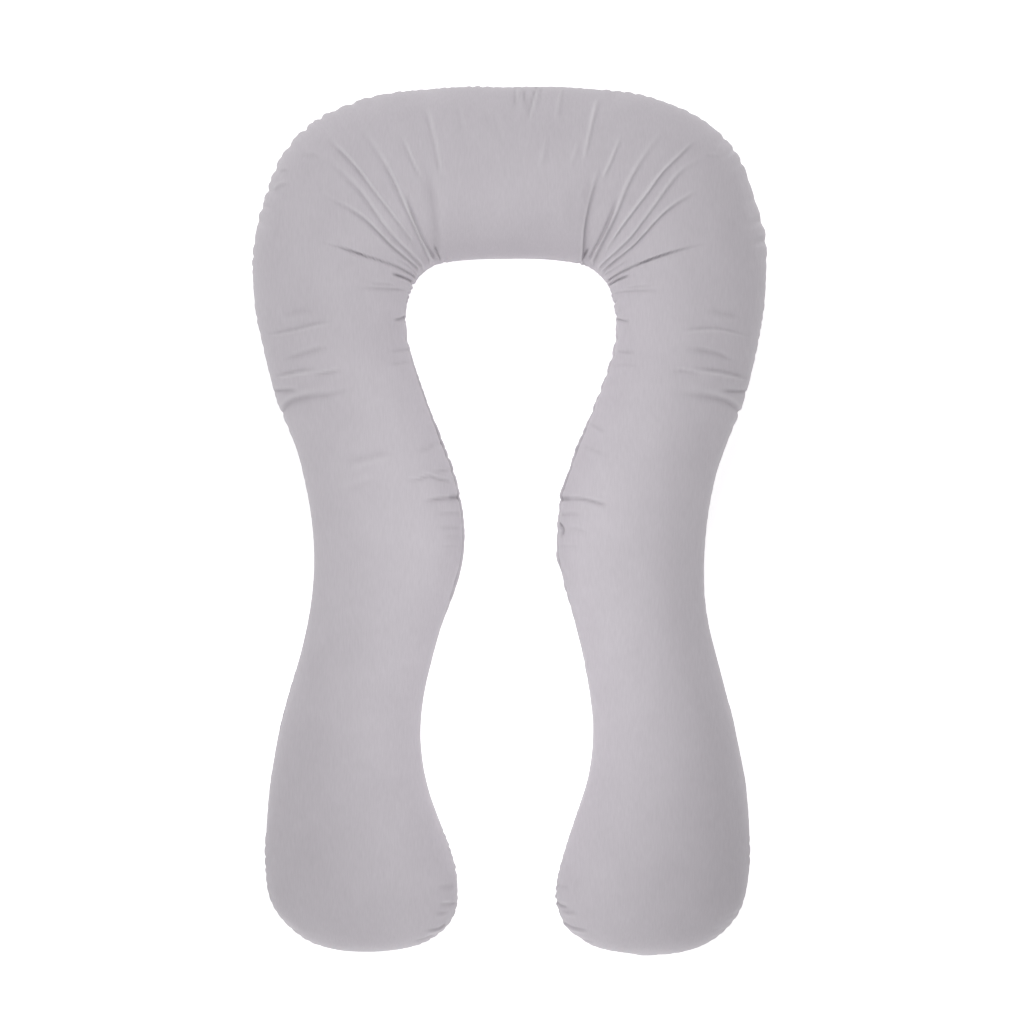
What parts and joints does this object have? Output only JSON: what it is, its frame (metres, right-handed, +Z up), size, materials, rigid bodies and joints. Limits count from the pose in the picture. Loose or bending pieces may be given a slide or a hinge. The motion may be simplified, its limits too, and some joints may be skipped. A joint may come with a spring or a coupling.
{
  "type": "body pillow",
  "caption": "U-shaped full body pillow in a plain knitted cover, lying flat, with a closed head end, narrow waists and wide rounded feet.",
  "frame": {"origin": "on the surface the pillow lies on, under the middle of its bounding box", "axes": "+Z up from the surface, +Y along the pillow towards its closed head end, +X to the right of someone looking down with the head end up"},
  "size_m": [0.899, 1.5172, 0.2033],
  "materials": {
    "jersey_cover": "matt light lilac-grey fine jersey knit"
  },
  "bodies": {
    "root": {"pillow": "jersey_cover"}
  },
  "joints": []
}
